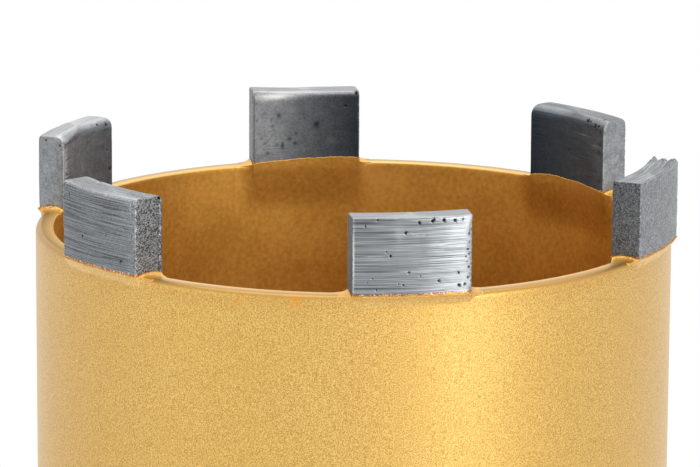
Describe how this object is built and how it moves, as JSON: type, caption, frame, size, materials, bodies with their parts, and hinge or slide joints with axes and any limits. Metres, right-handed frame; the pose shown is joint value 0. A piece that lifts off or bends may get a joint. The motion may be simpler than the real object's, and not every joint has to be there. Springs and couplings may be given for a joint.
{
  "type": "diamond core bit",
  "caption": "Diamond core bit: a thin round steel barrel with segments brazed upright on its open rim and a threaded hub on its closed base plate.",
  "frame": {"origin": "centre of the hub's end face, where the drill spindle's shoulder seats; the bit stands on this face", "axes": "+Z along the axis of rotation, from the hub towards the cutting end; one segment is centred on -Y and a corner of the hub's hexagon points along +X"},
  "size_m": [0.1012, 0.102, 0.1951],
  "materials": {
    "gold_paint": "fine metallic gold paint, satin",
    "sintered_segment": "sintered metal bond, ground on its faces and pitted by wear",
    "braze": "rough braze bead under gold paint",
    "hub_steel": "turned steel, gold paint outside, bare thread and end face"
  },
  "bodies": {
    "root": {"barrel": "gold_paint", "segment_1": "sintered_segment", "segment_2": "sintered_segment", "segment_3": "sintered_segment", "segment_4": "sintered_segment", "segment_5": "sintered_segment", "segment_6": "sintered_segment", "braze_1": "braze", "braze_2": "braze", "braze_3": "braze", "braze_4": "braze", "braze_5": "braze", "braze_6": "braze", "base_plate": "gold_paint", "hub": "hub_steel", "base_weld": "gold_paint", "hub_weld": "gold_paint"}
  },
  "joints": []
}
